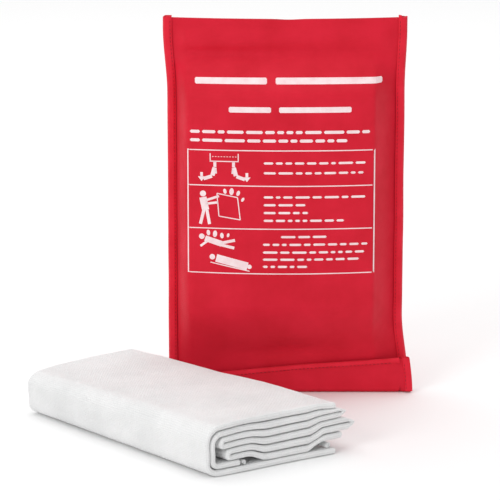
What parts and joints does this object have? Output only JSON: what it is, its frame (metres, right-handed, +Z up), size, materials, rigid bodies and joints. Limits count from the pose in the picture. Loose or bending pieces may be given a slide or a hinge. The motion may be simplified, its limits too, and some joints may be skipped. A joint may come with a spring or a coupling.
{
  "type": "fire blanket",
  "caption": "Folded glass-fibre fire blanket beside its upright red fabric storage pouch, with a bottom flap, hanging loops and pull tapes.",
  "frame": {"origin": "on the ground under the middle of the whole object's box", "axes": "+Z up; +Y points out of the pouch's flat back, so the printed front faces -Y; +X is to the right seen from the front"},
  "size_m": [0.2886, 0.2518, 0.291],
  "materials": {
    "pouch_cloth": "woven polyester with a satin coating, red",
    "binding_tape": "folded edging of the same red cloth",
    "webbing": "matt woven red tape",
    "hook_and_loop": "matt dark red pile",
    "glass_cloth": "off-white woven glass fibre, faint sheen",
    "print_ink": "white screen-printing ink"
  },
  "bodies": {
    "pouch": {"back_panel": "pouch_cloth", "front_panel": "pouch_cloth", "left_side_binding": "binding_tape", "right_side_binding": "binding_tape", "mouth_hem": "binding_tape", "loop_strip": "hook_and_loop", "loop_patch_left": "binding_tape", "loop_patch_right": "binding_tape", "hanging_loop_left": "webbing", "hanging_loop_right": "webbing"},
    "flap": {"closing_flap": "pouch_cloth", "flap_left_binding": "binding_tape", "flap_right_binding": "binding_tape", "hook_strip": "hook_and_loop", "flap_hem": "binding_tape"},
    "blanket": {"blanket_outer_fold": "glass_cloth", "blanket_inner_fold": "glass_cloth", "blanket_leaf_1": "glass_cloth", "blanket_leaf_2": "glass_cloth", "blanket_leaf_3": "glass_cloth", "blanket_leaf_4": "glass_cloth", "blanket_inner_hem": "glass_cloth", "blanket_outer_hem": "glass_cloth", "tape_patch_left": "webbing", "tape_patch_right": "webbing"},
    "top_leaf": {"blanket_top_leaf": "glass_cloth"},
    "tape_left": {"release_tape_left": "webbing"},
    "tape_right": {"release_tape_right": "webbing"}
  },
  "joints": [
    {"name": "flap_hinge", "type": "hinge", "parent": "pouch", "child": "flap", "pos_m": [0.05234, 0.11077, 0.0002], "axis": [1, 0, 0], "range_deg": [0, 150]},
    {"name": "blanket_lift", "type": "slide", "parent": "pouch", "child": "blanket", "axis": [0, 0, 1], "range_m": [0, 0.3]},
    {"name": "top_leaf_fold", "type": "hinge", "parent": "blanket", "child": "top_leaf", "pos_m": [-0.07311, -0.04095, 0.03275], "axis": [0.6428, -0.766, 0], "range_deg": [0, 170]},
    {"name": "tape_left_fold", "type": "hinge", "parent": "blanket", "child": "tape_left", "pos_m": [-0.11033, 0.0752, 0.0055], "axis": [0.766, 0.6428, 0], "range_deg": [0, 100]},
    {"name": "tape_right_fold", "type": "hinge", "parent": "blanket", "child": "tape_right", "pos_m": [-0.09117, 0.09127, 0.0055], "axis": [0.766, 0.6428, 0], "range_deg": [0, 100]}
  ]
}
